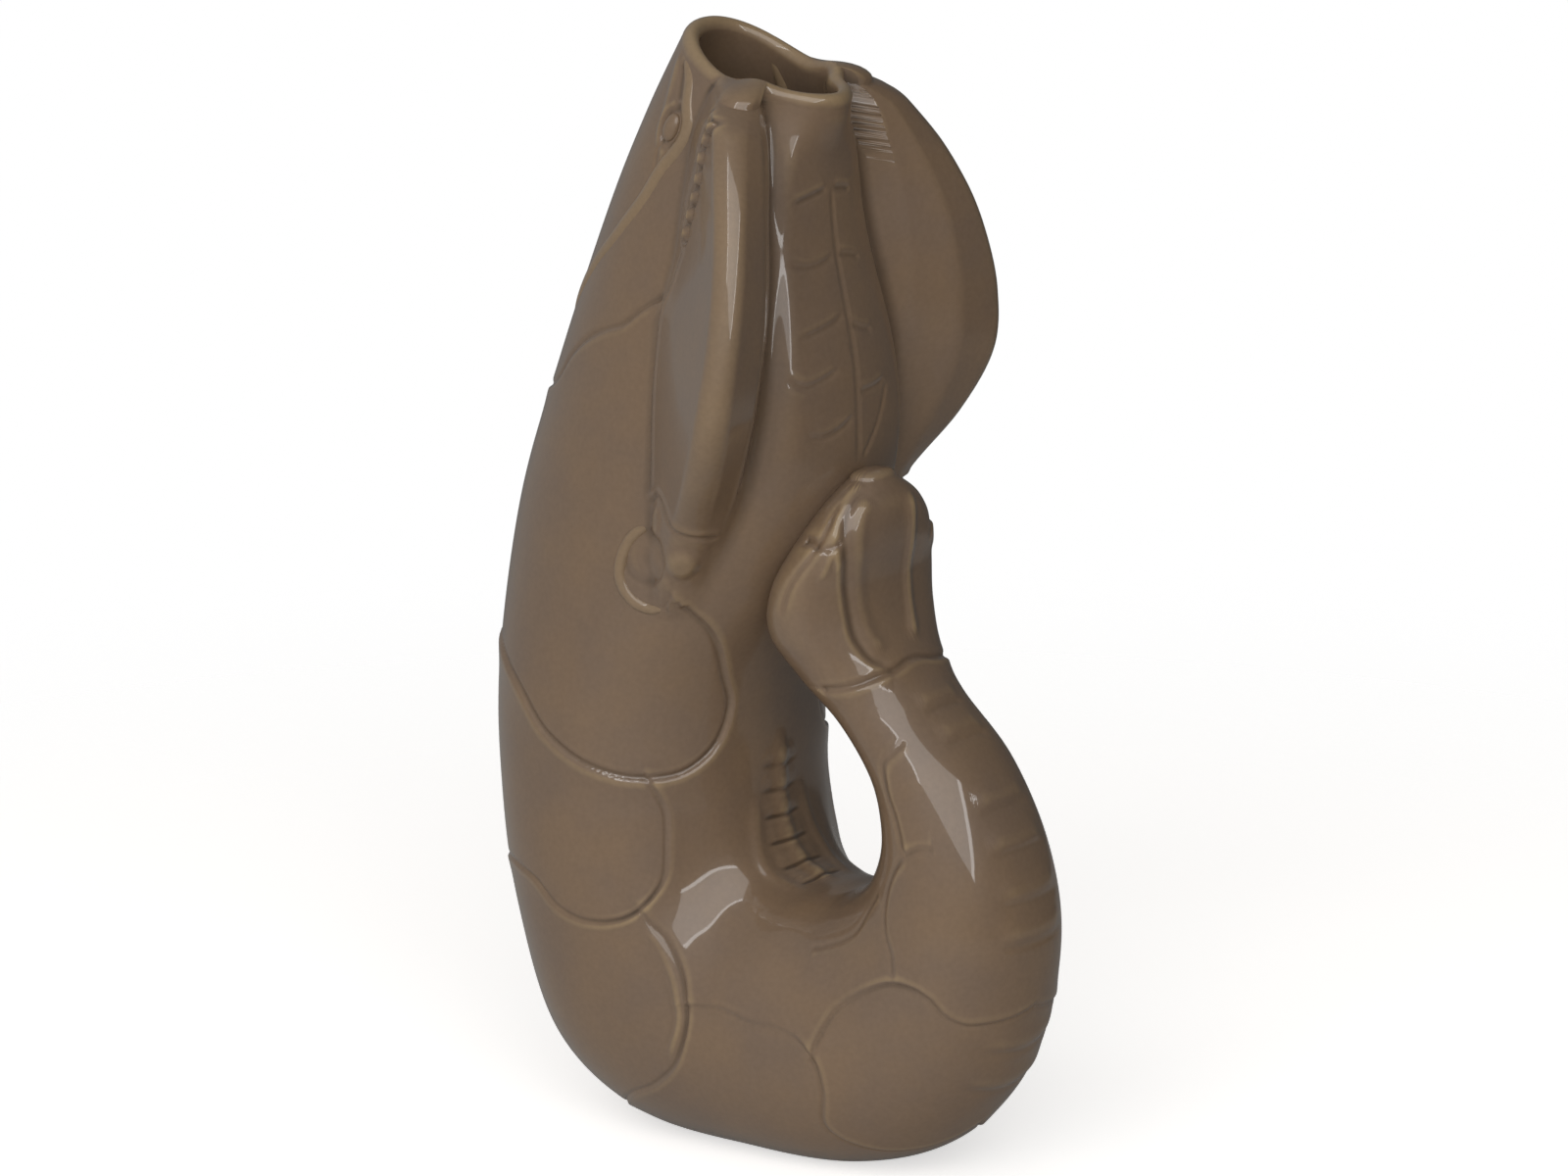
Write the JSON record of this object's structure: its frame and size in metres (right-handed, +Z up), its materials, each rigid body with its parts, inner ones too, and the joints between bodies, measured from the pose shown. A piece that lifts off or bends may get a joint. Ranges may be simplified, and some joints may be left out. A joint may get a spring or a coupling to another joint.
{
  "type": "ceramic vase",
  "caption": "Slip-cast glazed earthenware vase shaped as an upright lobster: the head is the mouth, and the tail curls under and up into a handle with a finger hole.",
  "frame": {"origin": "on the table under the middle of the vase's bounding box", "axes": "+Z up towards the mouth, +X towards the lobster's belly and tail handle, +Y towards the lobster's left claw"},
  "size_m": [0.1586, 0.1166, 0.288],
  "materials": {
    "body_glaze": "clear-gloss taupe glaze, lighter where it breaks over raised edges",
    "fan_glaze": "the same gloss glaze over the tail fan",
    "claw_glaze": "the same gloss glaze over the claws and arms",
    "sprig_glaze": "the same gloss glaze, thin and light over the small applied relief"
  },
  "bodies": {
    "root": {"vessel_body": "body_glaze", "tail_handle": "body_glaze", "telson": "fan_glaze", "uropod_left": "fan_glaze", "uropod_right": "fan_glaze", "claw_left": "claw_glaze", "claw_right": "claw_glaze", "wrist_left": "claw_glaze", "wrist_right": "claw_glaze", "elbow_ring_left": "sprig_glaze", "elbow_ring_right": "sprig_glaze", "eye_left": "sprig_glaze", "eye_right": "sprig_glaze", "antenna_left": "sprig_glaze", "antenna_right": "sprig_glaze"}
  },
  "joints": []
}
